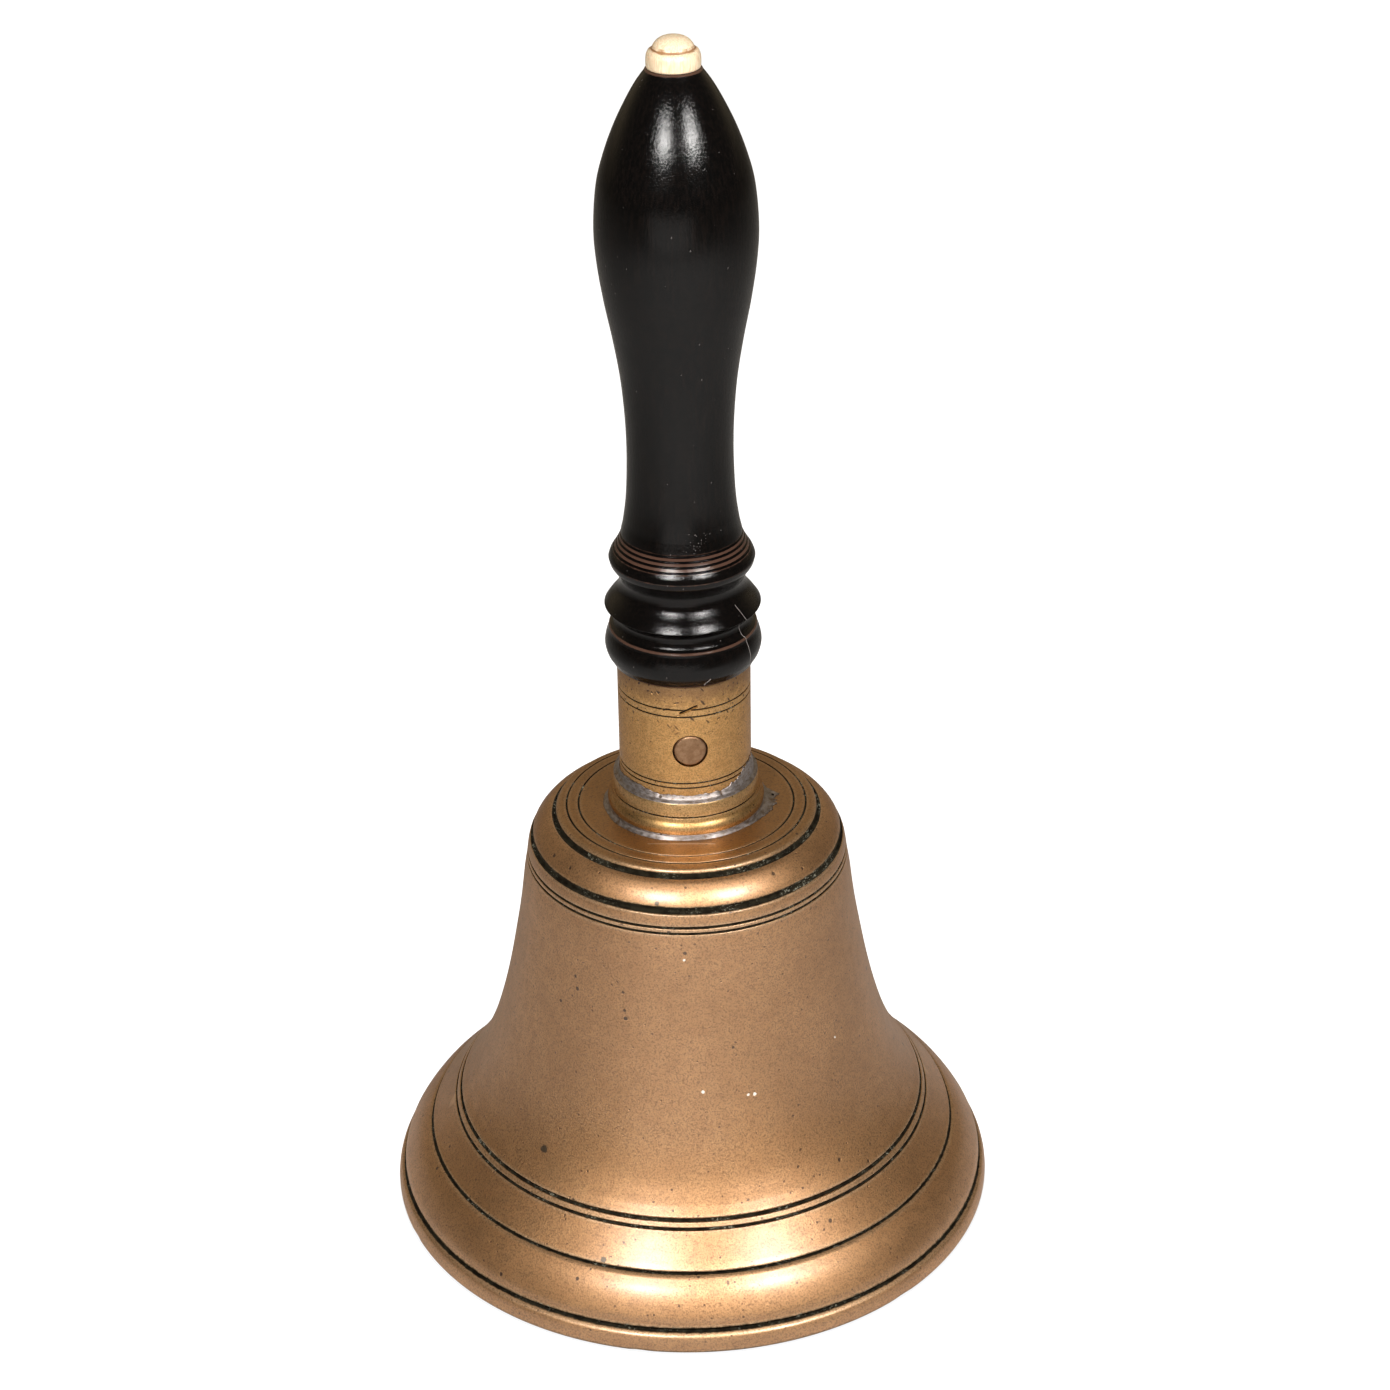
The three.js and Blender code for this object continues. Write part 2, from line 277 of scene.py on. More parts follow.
def along_y(obj, z):
    """Turns a piece made about Z, with its middle at the origin, to lie along Y at a height z in mm."""
    lie_down = Matrix.Rotation(math.pi / 2, 4, "X")
    obj.data.transform(Matrix.Translation((0, 0, z * MM)) @ lie_down)
    return obj


def disc(name, radius, half_length, segments=64, edge=0.0):
    """A short round bar about Z with its middle at the origin and chamfered edges."""
    section = [(0, -half_length), (radius - edge, -half_length), (radius, -half_length + edge),
               (radius, half_length - edge), (radius - edge, half_length), (0, half_length)]
    return turned(name, section, segments)


def pin_bore():
    """A tool for the hole that the pin goes through."""
    return along_y(disc("bore", PIN_R + 0.2, 20), PIN_Z)


def apply_modifiers(obj):
    graph = bpy.context.evaluated_depsgraph_get()
    mesh = bpy.data.meshes.new_from_object(
        obj.evaluated_get(graph), preserve_all_data_layers=True, depsgraph=graph)
    obj.modifiers.clear()
    obj.data = mesh


def boolean(obj, tool, operation):
    """Joins the tool to the piece, cuts it out or keeps what they share, and removes the tool."""
    modifier = obj.modifiers.new("cut", "BOOLEAN")
    modifier.operation = operation
    modifier.solver = "MANIFOLD"
    modifier.object = tool
    apply_modifiers(obj)
    bpy.data.objects.remove(tool)
    obj.data.set_sharp_from_angle(angle=math.radians(40))


def forged(obj, voxel, smoothing, strength, size):
    """Blends the joins of a piece made of several, then gives it a hammered surface."""
    remesh = obj.modifiers.new("blend", "REMESH")
    remesh.mode = "VOXEL"
    remesh.voxel_size = voxel * MM
    relax = obj.modifiers.new("relax", "SMOOTH")
    relax.iterations = smoothing
    relax.factor = 0.5
    apply_modifiers(obj)
    roughen(obj, strength, size)


def roughen(obj, strength, size):
    """Moves the surface in and out by up to the strength, in dents of about the size, both in millimetres."""
    mesh = obj.data
    normals = [normal.vector.copy() for normal in mesh.vertex_normals]
    for v, normal in zip(mesh.vertices, normals):
        v.co += normal * strength * MM * noise.fractal(v.co / (size * MM), 1.0, 2.0, 2)
    mesh.shade_smooth()


def waves(azimuth, turns, seed):
    """A smooth random wave round the axis, about -1 to 1, with the given number of bumps."""
    once_round = np.radians(azimuth[0])
    values = [noise.noise((turns * math.cos(a) / 2, turns * math.sin(a) / 2, seed * 7.3)) for a in once_round]
    return np.broadcast_to(np.array(values) * 1.6, azimuth.shape)


def bump_at(value, centre, width):
    """1 where value is centre, falling to 0 over the width."""
    return np.exp(-((value - centre) / width) ** 2)


def place(piece, body, slot, material, *nodes):
    """Gives a finished piece its body and material, and hides the frame nodes it stands for. The slot is not
    used.
    """
    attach(piece, body)
    if nodes:
        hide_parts(*nodes)
    piece.data.materials.clear()
    piece.data.materials.append(material)


# ---------------------------------------------------------------- shader nodes

class Shader:
    """A Principled material and short calls for the nodes behind it. Positions are in millimetres."""

    def __init__(self, name):
        self.material = bpy.data.materials.new(name)
        self.material.use_nodes = True
        self.tree = self.material.node_tree
        self.surface = self.tree.nodes["Principled BSDF"]
        in_mm = self.node("ShaderNodeVectorMath", operation="SCALE")
        self.link(self.node("ShaderNodeTexCoord").outputs["Object"], in_mm.inputs[0])
        in_mm.inputs["Scale"].default_value = 1 / MM
        self.place = in_mm.outputs[0]
        xyz = self.node("ShaderNodeSeparateXYZ")
        self.link(self.place, xyz.inputs[0])
        self.x, self.y, self.z = xyz.outputs
        self.bump = None

    def node(self, kind, **settings):
        made = self.tree.nodes.new(kind)
        for key, value in settings.items():
            setattr(made, key, value)
        return made

    def link(self, value, socket):
        if isinstance(value, bpy.types.NodeSocket):
            self.tree.links.new(value, socket)
        else:
            socket.default_value = value

    def math(self, operation, a, b=0.0, c=0.0):
        made = self.node("ShaderNodeMath", operation=operation)
        for socket, v in zip(made.inputs, (a, b, c)):
            self.link(v, socket)
        return made.outputs[0]

    def ramp(self, value, low, high, out_low=0.0, out_high=1.0):
        """Goes smoothly from out_low where value is low to out_high where it is high."""
        made = self.node("ShaderNodeMapRange", interpolation_type="SMOOTHSTEP")
        for socket, v in zip(made.inputs, (value, low, high, out_low, out_high)):
            self.link(v, socket)
        return made.outputs[0]

    def mix(self, factor, a, b):
        made = self.node("ShaderNodeMix", data_type="RGBA")
        for index, v in ((0, factor), (6, a), (7, b)):
            self.link((*v, 1) if isinstance(v, tuple) else v, made.inputs[index])
        return made.outputs[2]

    def stretched(self, sx, sy, sz):
        """Positions scaled along each axis."""
        made = self.node("ShaderNodeMapping", vector_type="POINT")
        self.link(self.place, made.inputs["Vector"])
        made.inputs["Scale"].default_value = (sx, sy, sz)
        return made.outputs[0]

    def noise(self, size, detail=3.0, roughness=0.55, at=None):
        """Noise with features of about the given size in millimetres."""
        made = self.node("ShaderNodeTexNoise", noise_dimensions="3D")
        self.link(self.place if at is None else at, made.inputs["Vector"])
        made.inputs["Scale"].default_value = 1 / size
        made.inputs["Detail"].default_value = detail
        made.inputs["Roughness"].default_value = roughness
        return made.outputs["Fac"]

    def specks(self, size, share, spread, at=None):
        """Round specks in a share of the cells of the given size in millimetres.

        spread is the largest speck's radius, in cells.
        """
        cells = self.node("ShaderNodeTexVoronoi", feature="F1")
        self.link(self.place if at is None else at, cells.inputs["Vector"])
        cells.inputs["Scale"].default_value = 1 / size
        chosen = self.node("ShaderNodeSeparateColor")
        self.link(cells.outputs["Color"], chosen.inputs[0])
        radius = self.ramp(chosen.outputs[0], 1 - share, 1, 0, spread)
        return self.ramp(self.math("SUBTRACT", radius, cells.outputs["Distance"]), 0, 0.35 * spread)

    def attribute(self, name):
        return self.node("ShaderNodeAttribute", attribute_name=name).outputs["Fac"]

    def angle(self):
        """The azimuth in degrees, from -180 to 180, with 0 at the front."""
        turn = self.math("ARCTAN2", self.x, self.math("MULTIPLY", self.y, -1))
        return self.math("MULTIPLY", turn, 180 / math.pi)

    def spot(self, azimuth, r, z, size, ragged=0.5):
        """A ragged spot on the surface, from its azimuth in degrees, radius and height."""
        a = math.radians(azimuth)
        offset = self.vector("SUBTRACT", self.place, (r * math.sin(a), -r * math.cos(a), z))
        length = self.vector("LENGTH", offset, output="Value")
        wavy = self.math("MULTIPLY_ADD", self.noise(size * 0.8, 3, 0.7), ragged * size * 2, -ragged * size)
        return self.ramp(self.math("ADD", length, wavy), size, size * 0.7)

    def stroke(self, start, end, width, at=None):
        """A thin mark between two places in millimetres."""
        a, b = Vector(start), Vector(end)
        offset = self.vector("SUBTRACT", self.place if at is None else at, a)
        reach = self.vector("DOT_PRODUCT", offset, (b - a) / (b - a).length_squared, output="Value")
        reach = self.math("MINIMUM", self.math("MAXIMUM", reach, 0), 1)
        nearest = self.node("ShaderNodeVectorMath", operation="SCALE")
        nearest.inputs[0].default_value = b - a
        self.link(reach, nearest.inputs["Scale"])
        away = self.vector("LENGTH", self.vector("SUBTRACT", offset, nearest.outputs[0]), output="Value")
        wavy = self.math("MULTIPLY_ADD", self.noise(0.7, 3, 0.7), 0.6 * width, -0.3 * width)
        return self.ramp(self.math("ADD", away, wavy), width, 0.4 * width)

    def unrolled(self, r):
        """Positions on a turned surface laid flat: along the azimuth at the radius, then the height."""
        made = self.node("ShaderNodeCombineXYZ")
        self.link(self.math("MULTIPLY", self.angle(), math.radians(r)), made.inputs[0])
        self.link(self.z, made.inputs[1])
        return made.outputs[0]

    def vector(self, operation, a, b=None, output="Vector"):
        made = self.node("ShaderNodeVectorMath", operation=operation)
        for socket, v in zip(made.inputs, (a, b)):
            if v is not None:
                self.link(v, socket)
        return made.outputs[output]

    def slanted(self, angle, stretch):
        """Positions in which features lie along a line, at an angle in degrees from upright in the front."""
        made = self.node("ShaderNodeMapping", vector_type="TEXTURE")
        self.link(self.place, made.inputs["Vector"])
        made.inputs["Rotation"].default_value = (0, math.radians(angle), 0)
        made.inputs["Scale"].default_value = (1, 1, stretch)
        return made.outputs[0]

    def waxed(self, grime_and_side_shade, weight, roughness, ior=1.6):
        """A thin clear film where there is no grime or painted side shade, which whitens the brightest
        reflections.

        The specular tint keeps the metal under it brown at glancing angles.
        """
        self.link(self.math("MULTIPLY_ADD", grime_and_side_shade, -weight, weight), self.surface.inputs["Coat Weight"])
        self.surface.inputs["Coat Roughness"].default_value = roughness
        self.surface.inputs["Coat IOR"].default_value = ior
        self.surface.inputs["Specular Tint"].default_value = (0.80, 0.60, 0.42, 1)

    def most(self, *values):
        top = values[0]
        for v in values[1:]:
            top = self.math("MAXIMUM", top, v)
        return top

    def relief(self, value, depth):
        """Adds a relief of value times depth millimetres to the bump."""
        made = self.node("ShaderNodeBump")
        made.inputs["Distance"].default_value = depth * MM
        self.link(value, made.inputs["Height"])
        if self.bump:
            self.link(self.bump, made.inputs["Normal"])
        self.bump = made.outputs["Normal"]

    def done(self, colour, roughness, metallic):
        self.link(colour, self.surface.inputs["Base Color"])
        self.link(roughness, self.surface.inputs["Roughness"])
        self.link(metallic, self.surface.inputs["Metallic"])
        if self.bump:
            self.link(self.bump, self.surface.inputs["Normal"])
        return self.material


# ---------------------------------------------------------------- materials

def patinated(s, copper, grime_shade_at=0.28, grime_shade_width=0.34):
    """Puts grime in the hollows of a metal colour, and painted shade that makes the hollows darker and wider
    from the front towards the sides and back. Returns the colour and how much grime and painted shade each
    point has.
    """
    grime = s.attribute("grime")
    ragged = s.math("MULTIPLY_ADD", s.noise(1.6, 4, 0.7), 0.5, -0.25)
    # Painted shade: grime in the hollows is spread darker and wider from the front towards the sides and
    # back, along y.
    side_shade = s.math("MULTIPLY", s.ramp(grime, 0.1, 0.4), s.ramp(s.y, -0.8 * MOUTH_R, 0, 0, 0.25))
    grime_and_side_shade = s.ramp(s.math("ADD", s.math("ADD", grime, side_shade), ragged), grime_shade_at, grime_shade_at + grime_shade_width)
    colour = s.mix(s.ramp(s.noise(2.4, 3), 0.4, 0.6), (0.006, 0.005, 0.003), (0.018, 0.016, 0.010))
    gathered = s.math("MULTIPLY", s.ramp(s.noise(12, 2), 0.48, 0.66), s.ramp(grime, 0.2, 0.6))
    residue = s.math("MULTIPLY", s.ramp(s.noise(0.8, 4, 0.8), 0.55, 0.62), gathered)
    colour = s.mix(s.math("MULTIPLY", residue, 0.8), colour, (0.36, 0.35, 0.27))
    s.surface.inputs["Specular IOR Level"].default_value = 0.2
    return s.mix(grime_and_side_shade, copper, colour), grime_and_side_shade


def bronze(chips, spots, strikes):
    """Satin copper-brown bronze: turning marks, pits, patina, grimy hollows with painted shade widening them
    at the sides and back, rubbed edges, a crown scratch.

    Chips are pale, spots are dark stains and strikes are places that the clapper keeps bright.
    """
    s = Shader("bronze")
    mottle = s.noise(3.2, 4, 0.65)
    grain = s.noise(0.45, 3, 0.75)
    copper = s.mix(s.ramp(s.noise(28, 4, 0.6), 0.35, 0.68), (0.52, 0.275, 0.112), (0.63, 0.345, 0.15))
    copper = s.mix(s.ramp(mottle, 0.3, 0.75, 0.0, 0.45), copper, (0.42, 0.21, 0.082))
    plate = s.ramp(s.z, CROWN_Z - 2.2, CROWN_Z - 1.2)
    copper = s.mix(s.math("MULTIPLY", plate, 0.75), copper, (0.42, 0.215, 0.062))
    copper = s.mix(s.math("MULTIPLY", s.attribute("rub"), 0.5), copper, (0.75, 0.53, 0.32))
    copper = s.mix(s.ramp(grain, 0.44, 0.66, 0.0, 0.75), copper, (0.22, 0.108, 0.042))
    fine_pits = s.specks(1.5, 0.4, 0.24)
    pits = s.specks(3.6, 0.35, 0.17)
    copper = s.mix(s.math("MULTIPLY", fine_pits, 0.75), copper, (0.12, 0.055, 0.024))
    copper = s.mix(s.math("MULTIPLY", pits, 0.85), copper, (0.05, 0.024, 0.012))
    for strike in strikes:
        copper = s.mix(s.math("MULTIPLY", s.spot(*strike), 0.8), copper, (0.78, 0.53, 0.30))
    colour, grime_and_side_shade = patinated(s, copper)
    metal = s.ramp(grime_and_side_shade, 0.0, 1.0, 1.0, 0.1)
    for stain in spots:
        colour = s.mix(s.math("MULTIPLY", s.spot(*stain), 0.85), colour, (0.035, 0.032, 0.018))
    scratch = s.stroke((-10.6, -19.4, CROWN_Z), (5.0, -21.1, CROWN_Z), 0.2)
    colour = s.mix(s.math("MULTIPLY", scratch, 0.7), colour, (0.85, 0.74, 0.60))
    for chip in chips:
        spot = s.spot(*chip)
        colour = s.mix(spot, colour, (0.75, 0.72, 0.64))
        metal = s.math("SUBTRACT", metal, spot)
    rough = s.math("MULTIPLY_ADD", grime_and_side_shade, 0.4, s.ramp(mottle, 0.3, 0.7, 0.46, 0.54))
    s.waxed(grime_and_side_shade, 0.8, 0.34, 1.8)
    s.relief(s.noise(0.6, 2, 0.5, s.stretched(0.05, 0.05, 1.0)), 0.012)
    s.relief(grain, 0.06)
    s.relief(s.most(fine_pits, pits), -0.08)
    return s.done(colour, rough, metal)


def brass(name, base, dark, tarnish=()):
    """Yellow-ochre brass with fine speckle, and grime in its lines with painted shade widening it at the
    sides and back.

    tarnish gives the two heights between which the brass darkens. Slanting dashes begin a little lower.
    """
    s = Shader(name)
    mottle = s.noise(2.5, 4, 0.65)
    grain = s.noise(0.4, 3, 0.75)
    colour = s.mix(s.ramp(mottle, 0.35, 0.7, 0, 0.6), base, dark)
    colour = s.mix(s.math("MULTIPLY", s.attribute("rub"), 0.5), colour, (0.70, 0.50, 0.25))
    colour = s.mix(s.ramp(grain, 0.42, 0.64, 0, 0.65), colour, tuple(0.45 * c for c in dark))
    colour = s.mix(s.math("MULTIPLY", s.specks(0.9, 0.25, 0.34), 0.7), colour, (0.08, 0.04, 0.016))
    if tarnish:
        ragged = s.math("MULTIPLY_ADD", mottle, 5, s.z)
        cover = s.ramp(ragged, tarnish[0] + 1.5, tarnish[1] + 1.5, 0, 0.7)
        colour = s.mix(cover, colour, (0.17, 0.085, 0.035))
        for angle in (52, -38, 75):
            dashes = s.specks(1.1, 0.7, 0.27, s.slanted(angle, 4))
            here = s.math("MULTIPLY", dashes, s.ramp(s.z, tarnish[0] - 9, tarnish[0] - 3))
            colour = s.mix(s.math("MULTIPLY", here, 0.85), colour, (0.06, 0.03, 0.012))
            s.relief(here, -0.08)
    colour, grime_and_side_shade = patinated(s, colour, 0.4, 0.3)
    s.waxed(grime_and_side_shade, 0.6, 0.27)
    s.relief(grain, 0.035)
    return s.done(colour, s.ramp(mottle, 0.3, 0.7, 0.34, 0.44), s.ramp(grime_and_side_shade, 0, 1, 1, 0.2))


def solder():
    """Grey soft solder with drag marks, brown patches, dark specks, and a near-black spot of painted shade
    where a small hole is, which is not cut.
    """
    s = Shader("solder")
    drag = s.noise(0.7, 4, 0.7, s.stretched(0.5, 0.5, 1.6))
    colour = s.mix(s.ramp(drag, 0.35, 0.65), (0.24, 0.205, 0.185), (0.40, 0.36, 0.345))
    colour = s.mix(s.ramp(s.noise(2.0, 4, 0.7), 0.5, 0.68, 0, 0.7), colour, (0.17, 0.105, 0.06))
    colour = s.mix(s.math("MULTIPLY", s.specks(1.8, 0.14, 0.3), 0.8), colour, (0.06, 0.035, 0.02))
    # Painted shade: a near-black spot stands for the dark inside of a small hole, which is not cut in the
    # seam.
    colour = s.mix(s.spot(89, 20.9, 107.8, 0.45), colour, (0.012, 0.008, 0.006))
    s.relief(drag, 0.03)
    return s.done(colour, s.ramp(drag, 0.3, 0.7, 0.4, 0.55), 1.0)


def pin_copper():
    """Brown-pink copper, filed flat."""
    s = Shader("pin_copper")
    file_marks = s.noise(0.35, 3, 0.6, s.stretched(0.25, 1, 1.5))
    colour = s.mix(s.ramp(s.noise(1.5, 4, 0.7), 0.35, 0.65), (0.27, 0.155, 0.085), (0.37, 0.225, 0.13))
    colour = s.mix(s.math("MULTIPLY", s.specks(0.9, 0.25, 0.3), 0.5), colour, (0.08, 0.05, 0.03))
    s.relief(file_marks, 0.05)
    return s.done(colour, s.ramp(file_marks, 0.3, 0.7, 0.4, 0.5), 1.0)


def ebonised_wood():
    """Black polish over turned wood, worn brown on some ridges, with grain, dust, a scuff and a crack."""
    s = Shader("ebonised_wood")
    grain = s.noise(0.5, 4, 0.65, s.stretched(1, 1, 0.04))
    pores = s.noise(0.35, 3, 0.7, s.stretched(1, 1, 0.3))
    black = s.mix(s.ramp(grain, 0.4, 0.7), (0.0016, 0.0015, 0.0015), (0.005, 0.0035, 0.003))
    ragged = s.math("MULTIPLY", s.noise(1.5, 4, 0.7), 0.5)
    worn = s.ramp(s.math("ADD", s.attribute("rub"), ragged), 0.75, 1.1)
    from_arris = s.math("ABSOLUTE", s.math("SUBTRACT", s.z, ARRIS_Z))
    worn = s.math("MULTIPLY", worn, s.ramp(from_arris, 1.4, 2.2))
    colour = s.mix(s.math("MULTIPLY", worn, 0.7), black, (0.10, 0.052, 0.036))
    flat = s.unrolled(BEAD_R)
    degree = math.radians(BEAD_R)  # the length of a degree of azimuth on the beads
    # A hairline crack in two stretches, and a short scratch low in front
    crack = s.most(s.stroke((45.6 * degree, 165.1, 0), (51.5 * degree, 158.6, 0), 0.10, flat),
                   s.stroke((51.5 * degree, 158.6, 0), (53.8 * degree, 150.2, 0), 0.14, flat),
                   s.stroke((11.5 * degree, 147.9, 0), (15.5 * degree, 149.5, 0), 0.24, flat))
    scuff = s.math("MULTIPLY", s.spot(8.8, 13.5, 182.4, 3.0, 0.9), s.specks(0.35, 0.5, 0.4))
    scuff = s.most(scuff, s.math("MULTIPLY", s.specks(1.2, 0.35, 0.13, s.slanted(20, 2.0)), 0.6))
    colour = s.mix(s.most(crack, s.math("MULTIPLY", scuff, 0.6)), colour, (0.24, 0.22, 0.21))
    s.relief(pores, 0.045)
    s.relief(grain, 0.03)
    s.relief(crack, -0.1)
    dull = s.most(scuff, s.ramp(pores, 0.5, 0.75, 0, 0.2))
    rough = s.math("MULTIPLY_ADD", dull, 0.3, s.ramp(s.noise(12, 3), 0.3, 0.7, 0.10, 0.15))
    s.surface.inputs["Specular IOR Level"].default_value = 0.24
    return s.done(colour, rough, 0.0)


def bone():
    """Cream bone with upright grain and brown stains in its groove."""
    s = Shader("bone")
    s.surface.inputs["Subsurface Weight"].default_value = 0.15
    s.surface.inputs["Subsurface Radius"].default_value = (1.0, 0.6, 0.4)
    s.surface.inputs["Subsurface Scale"].default_value = MM
    grain = s.noise(0.35, 3, 0.6, s.stretched(1, 1, 0.12))
    colour = s.mix(s.ramp(grain, 0.35, 0.7), (0.86, 0.72, 0.52), (0.72, 0.52, 0.32))
    stained = s.math("MULTIPLY_ADD", s.noise(1.6, 4, 0.7), 0.9, s.attribute("grime"))
    colour = s.mix(s.ramp(stained, 0.75, 1.1, 0, 0.85), colour, (0.30, 0.12, 0.03))
    s.relief(grain, 0.02)
    return s.done(colour, 0.38, 0.0)


def iron(name, rust=0.4):
    """Dark forged iron with fine scale and patches of rust."""
    s = Shader(name)
    scale = s.noise(1.2, 4, 0.7)
    colour = s.mix(s.ramp(scale, 0.35, 0.7), (0.10, 0.09, 0.083), (0.18, 0.165, 0.155))
    colour = s.mix(s.ramp(s.noise(5, 4, 0.65), 0.52, 0.68, 0, rust), colour, (0.17, 0.07, 0.028))
    s.relief(scale, 0.12)
    return s.done(colour, s.ramp(scale, 0.3, 0.7, 0.42, 0.62), 0.9)


def steel():
    """Plain steel, dulled by age."""
    s = Shader("plain_steel")
    wear = s.noise(1.5, 4, 0.7)
    colour = s.mix(s.ramp(wear, 0.35, 0.7), (0.32, 0.31, 0.30), (0.19, 0.16, 0.14))
    s.relief(wear, 0.03)
    return s.done(colour, s.ramp(wear, 0.3, 0.7, 0.38, 0.55), 1.0)


# ---------------------------------------------------------------- the bell

SOUNDBOW_TOP = (66.5, 16.1)


def bell_outline():
    lip = rounded([(70.4, 0), (74.5, 0), (MOUTH_R, 0.7), (MOUTH_R, 2.4), (74.7, 3.6), (74.1, 4.8)], 0.6, 5)
    lip_groove = rounded([(74.1, 4.8), (72.4, 5.15), (72.4, 5.95), (73.3, 6.3)], 0.2, 5)
    ridge = rounded([(73.3, 6.3), (73.35, 6.45), (73.25, 6.6)], 0.1, 3)
    soundbow = smooth([(73.25, 6.6), (72.65, 8.4), (70.9, 11.3), (68.95, 13.8), SOUNDBOW_TOP], 0.7)
    step = rounded([SOUNDBOW_TOP, (65.0, 16.25), (65.05, 16.65), (65.7, 16.85)], 0.3, 5)
    step_edge = rounded([(65.7, 16.85), (65.65, 17.2), (65.3, 17.6), (64.9, 18.0)], 0.3, 4)
    band = smooth([(64.9, 18.0), (62.6, 20.7), (60.1, 23.8), (57.9, 26.8), (56.2, 29.1)], 0.5)
    band = scribed(band, [(24.7, 0.9, 0.5), (26.3, 1.15, 0.6)])
    waist = smooth([(56.2, 29.1), (53.0, 34.5), (49.7, 42.0), (46.9, 50.8), (44.5, 60.5),
                    (42.4, 71.2), (40.8, 80.4), (39.6, 89.5), (38.95, 93.2)], 1.4)
    top_band = smooth([(38.95, 93.2), (38.6, 95.8), (38.3, 97.6), (38.05, 98.5)], 0.35)
    top_band = scribed(top_band, [(94.2, 0.75, 0.45), (95.85, 0.8, 0.45)])
    groove_edge = rounded([(38.05, 98.5), (38.0, 98.8), (37.8, 98.95)], 0.1, 3)
    groove = rounded([(37.8, 98.95), (36.9, 99.1), (36.75, 99.9), (37.25, 100.3)], 0.3, 5)
    shoulder = smooth([(37.25, 100.3), (37.0, 101.0), (36.2, 102.3), (35.0, 103.7), (33.6, 104.85),
                       (32.5, 105.3)], 0.35)
    crown_groove = rounded([(32.5, 105.3), (31.55, 105.0), (31.4, 105.9)], 0.25, 5)
    crown_edge = rounded([(31.4, 105.9), (31.35, 106.6), (30.9, 107.05), (29.9, 107.3)], 0.3, 5)
    crown = smooth([(29.9, 107.3), (28.8, 107.5), (27.5, 107.65), (25.9, CROWN_Z), (23.5, CROWN_Z)], 0.3)
    crown = scribed(crown, [(28.8, 0.5, 0.3), (25.9, 0.5, 0.3)])
    hole = rounded([(23.5, CROWN_Z), (14.0, CROWN_Z), (4.6, CROWN_Z), (4.6, 103.7), (14.0, 103.7),
                    (27.0, 103.7)], 0.3)
    inside = smooth([(27.0, 103.7), (31.5, 103.2), (34.0, 101.3), (35.3, 96.0), (37.0, 84.0), (38.9, 72.0),
                     (42.1, 55.0), (46.6, 41.0), (57.2, 20.4), (66.4, 5.0)], 1.8)
    lip_inside = rounded([(66.4, 5.0), (69.3, 0.35), (70.4, 0)], 0.5)
    whole = joined(lip, soiled(lip_groove), ridge, soundbow, soiled(step), step_edge, band, waist, top_band,
                   groove_edge, soiled(groove), shoulder, soiled(crown_groove), crown_edge, crown,
                   hole, inside, lip_inside)
    return whole[:-1]


def bell_shape(azimuth, r, z):
    """Knocks on the lip, and a shoulder groove that wanders a little, as hand turning leaves it."""
    knocks = ((-14.4, 0.9, 0.35), (38, 1.6, 0.22), (-71, 1.2, 0.3), (118, 2.0, 0.25), (-152, 1.4, 0.35))
    low = np.clip(1.6 - z, 0, 1.6) / 1.6 * (r > 73.5)
    out = sum(-depth * bump_at(azimuth, at, width) for at, width, depth in knocks) * low
    up = 0.12 * waves(azimuth, 3, 1) * bump_at(z, 99.5, 1.6) * (r > 36.2)
    return out, up


def bell():
    chips = [(-0.8, 45.9, 54.6, 0.5), (12.6, 46.5, 52.6, 0.4), (14.6, 46.4, 52.4, 0.5),
             (-5.9, 39.8, 87.9, 0.35), (46.1, 45.2, 57.7, 0.35)]
    spots = [(-46.4, 53.2, 34.0, 1.1), (-23.5, 65.1, 17.8, 0.8), (-15.5, 37.0, 101.4, 0.7)]
    strikes = [(side, STRIKE_R, STRIKE_Z, 5.0, 0.4) for side in (-90, 90)]
    piece = turned("bell", bell_outline(), 240, bell_shape)
    place(piece, "bell", "bronze", bronze(chips, spots, strikes), "bell_casting")


# ---------------------------------------------------------------- collar, ferrule, solder and pin

def collar():
    foot = rounded([(16.0, 108.0), (18.1, 108.0), (18.5, 108.5)], 0.3)
    bead = smooth([(18.5, 108.5), (18.72, 109.3), (18.7, 110.1), (18.4, 110.95), (17.9, 111.8),
                   (17.65, 112.6)], 0.25)
    slope = smooth([(17.65, 112.6), (17.6, 113.3), (17.5, 114.4), (17.3, 115.6), (17.15, 116.3)], 0.25)
    outer = scribed(joined(bead, slope), [(113.0, 0.45, 0.4)])
    top = rounded([(17.15, 116.3), (17.0, 116.5), (16.0, 116.5), (16.0, 108.0)], 0.15)
    piece = turned("collar", joined(foot, outer, top)[:-1], 192)
    material = brass("collar_brass", (0.66, 0.39, 0.145), (0.52, 0.29, 0.10))
    place(piece, "bell", "collar_brass", material, "collar_moulding")


